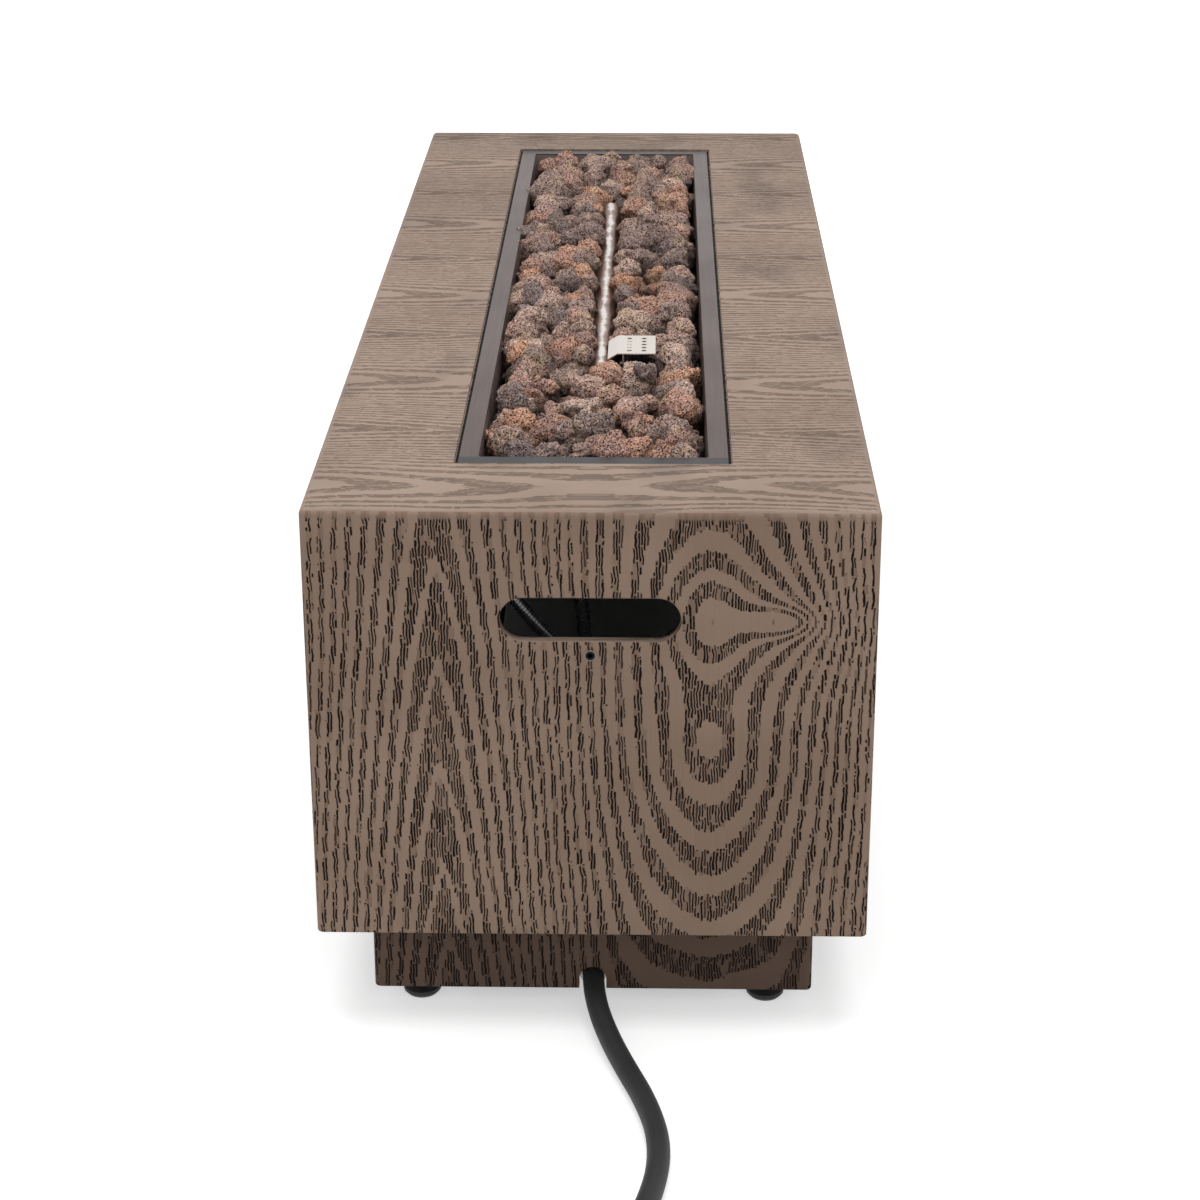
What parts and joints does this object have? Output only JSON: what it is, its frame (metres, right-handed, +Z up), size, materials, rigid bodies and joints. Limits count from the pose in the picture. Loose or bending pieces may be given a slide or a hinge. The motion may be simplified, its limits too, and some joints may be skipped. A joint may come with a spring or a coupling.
{
  "type": "fire pit table",
  "caption": "Long low gas fire pit table with a wood-grain casing on a set-back plinth, a drop-in burner pan of lava rock, handle slots, levelling feet and a gas hose.",
  "frame": {"origin": "on the floor under the middle of the table, the gas hose and what is on it left out", "axes": "+X along the table towards the end where the gas hose leaves, +Z up, controls on the -Y side"},
  "size_m": [2.0445, 0.5005, 0.5213],
  "materials": {
    "casing_woodgrain": "matte",
    "plinth_woodgrain": "matte",
    "galvanised_steel": "satin",
    "zinc_screws": "satin",
    "black_pan": "satin",
    "black_steel": "matte",
    "stainless": "satin",
    "stainless_bright": "satin",
    "brass": "satin",
    "white_ceramic": "glossy",
    "copper_probe": "satin",
    "lava_rock": "matte",
    "knob_plastic": "satin",
    "black_plastic": "matte",
    "button_plastic": "satin",
    "battery_jacket": "satin",
    "black_flex": "satin",
    "lead_jacket": "matte",
    "crimp_steel": "satin",
    "hose_rubber": "matte",
    "foot_rubber": "satin",
    "tie_strap": "matte",
    "regulator_zinc": "satin",
    "nipple_plastic": "matte",
    "nut_plastic": "satin"
  },
  "bodies": {
    "root": {"body_shell": "casing_woodgrain", "plinth": "plinth_woodgrain", "base_pan": "black_steel", "cutout_rails": "black_steel", "frame_posts": "black_steel", "plinth_cleats": "black_steel", "frame_screws": "zinc_screws", "threaded_inserts": "zinc_screws", "foot_brackets": "galvanised_steel", "burner_pan": "black_pan", "burner_tube": "stainless", "burner_cradles": "stainless", "feed_pipe": "stainless", "air_mixer": "brass", "gas_orifice": "brass", "burner_elbow": "brass", "igniter_shield": "stainless_bright", "igniter_bracket": "stainless_bright", "electrode_ceramic": "white_ceramic", "spark_electrode": "stainless_bright", "flame_probe": "copper_probe", "lava_rocks": "lava_rock", "control_niche": "black_steel", "niche_screws": "zinc_screws", "valve_body": "brass", "igniter_module": "black_plastic", "igniter_terminals": "zinc_screws", "igniter_nut": "black_plastic", "igniter_battery": "battery_jacket", "inlet_elbow": "brass", "flare_nuts": "brass", "inlet_line": "black_flex", "burner_line": "black_flex", "spark_lead": "lead_jacket", "probe_line": "copper_probe", "inlet_ferrule": "crimp_steel", "gas_hose": "hose_rubber", "gas_hose_coil": "hose_rubber", "gas_hose_tail": "hose_rubber", "hose_ties": "tie_strap", "regulator_ferrule": "crimp_steel", "regulator_body": "regulator_zinc", "regulator_cap": "regulator_zinc", "tank_nipple": "nipple_plastic"},
    "gas_plug": {"valve_plug": "brass"},
    "knob": {"valve_stem": "stainless", "control_knob": "knob_plastic"},
    "spark_button": {"igniter_button": "button_plastic"},
    "hand_nut": {"tank_nut": "nut_plastic"},
    "foot_front_left": {"foot_pad_front_left": "foot_rubber", "foot_stud_front_left": "zinc_screws"},
    "foot_front_right": {"foot_pad_front_right": "foot_rubber", "foot_stud_front_right": "zinc_screws"},
    "foot_back_left": {"foot_pad_back_left": "foot_rubber", "foot_stud_back_left": "zinc_screws"},
    "foot_back_right": {"foot_pad_back_right": "foot_rubber", "foot_stud_back_right": "zinc_screws"}
  },
  "joints": [
    {"name": "knob_turn", "type": "hinge", "parent": "root", "child": "gas_plug", "pos_m": [0.439, -0.2252, 0.3], "axis": [0, -1, 0], "range_deg": [0, 170]},
    {"name": "knob_push", "type": "slide", "parent": "gas_plug", "child": "knob", "axis": [0, 1, 0], "range_m": [0, 0.003], "stiffness_N_per_m": 1500, "springref_m": -0.003},
    {"name": "button_press", "type": "slide", "parent": "root", "child": "spark_button", "axis": [0, 1, 0], "range_m": [0, 0.004], "stiffness_N_per_m": 900, "springref_m": -0.004},
    {"name": "hand_nut_turn", "type": "hinge", "parent": "root", "child": "hand_nut", "pos_m": [1.29086, -0.18211, 0.0215], "axis": [0.9797, -0.2004, 0], "continuous": true},
    {"name": "foot_front_left_screw", "type": "slide", "parent": "root", "child": "foot_front_left", "axis": [0, 0, -1], "range_m": [0, 0.015]},
    {"name": "foot_front_right_screw", "type": "slide", "parent": "root", "child": "foot_front_right", "axis": [0, 0, -1], "range_m": [0, 0.015]},
    {"name": "foot_back_left_screw", "type": "slide", "parent": "root", "child": "foot_back_left", "axis": [0, 0, -1], "range_m": [0, 0.015]},
    {"name": "foot_back_right_screw", "type": "slide", "parent": "root", "child": "foot_back_right", "axis": [0, 0, -1], "range_m": [0, 0.015]}
  ]
}
